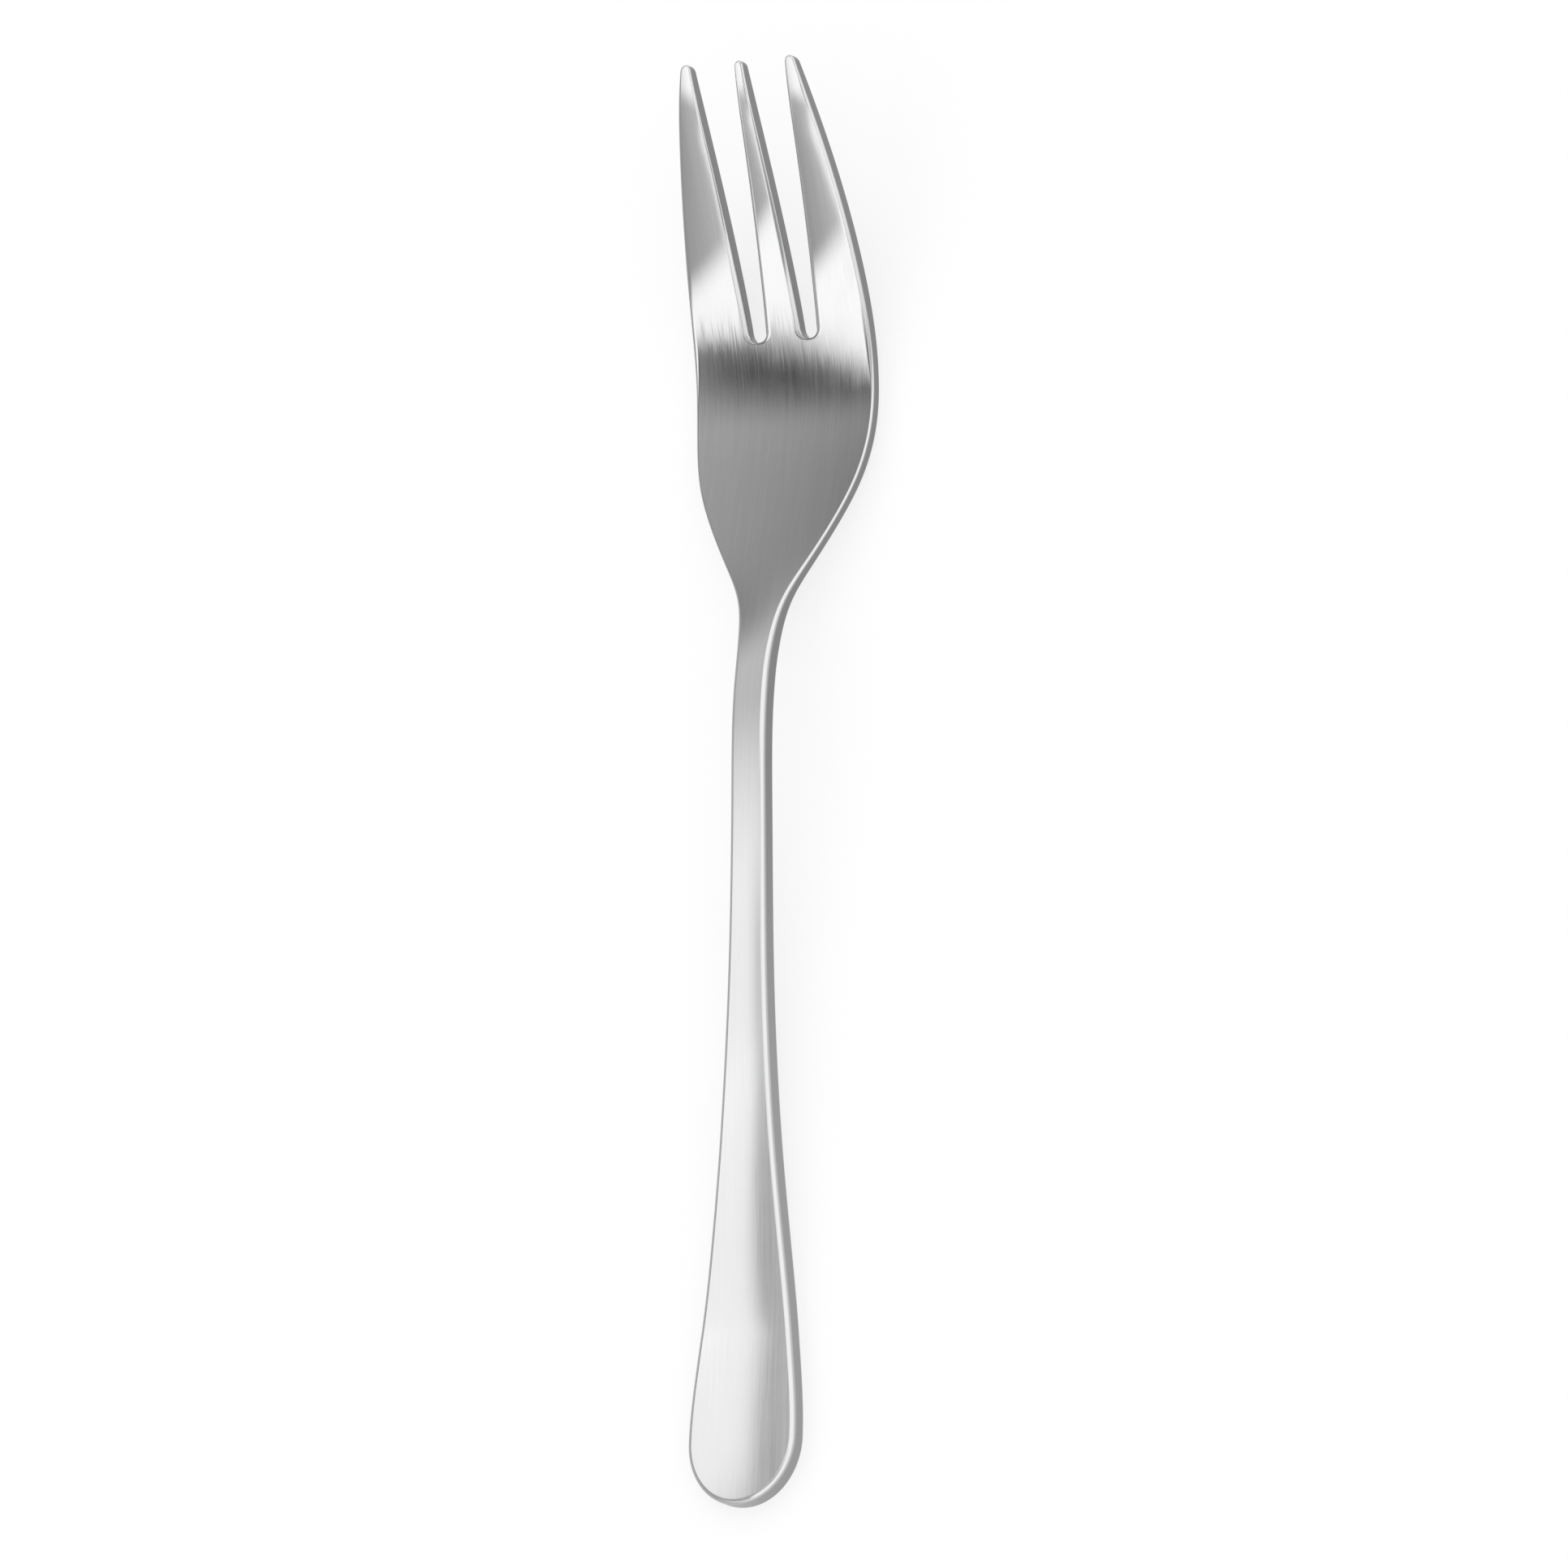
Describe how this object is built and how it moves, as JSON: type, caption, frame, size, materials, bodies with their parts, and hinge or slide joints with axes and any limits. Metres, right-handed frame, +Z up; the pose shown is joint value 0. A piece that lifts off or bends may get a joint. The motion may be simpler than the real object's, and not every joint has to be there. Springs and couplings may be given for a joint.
{
  "type": "pastry fork",
  "caption": "Small one-piece stainless steel fork with tapered tines, a shallow dished head, a slim arched neck and a rounded handle.",
  "frame": {"origin": "Centre of the footprint, on the table plane that the belly of the head and the back of the handle's end rest on", "axes": "+X to the right across the fork, +Y along the fork from the handle towards the tines, +Z up with the tines' tips curving upwards"},
  "size_m": [0.0216, 0.15, 0.0141],
  "materials": {
    "steel": "satin polish with fine marks along the fork"
  },
  "bodies": {
    "root": {"fork": "steel"}
  },
  "joints": []
}
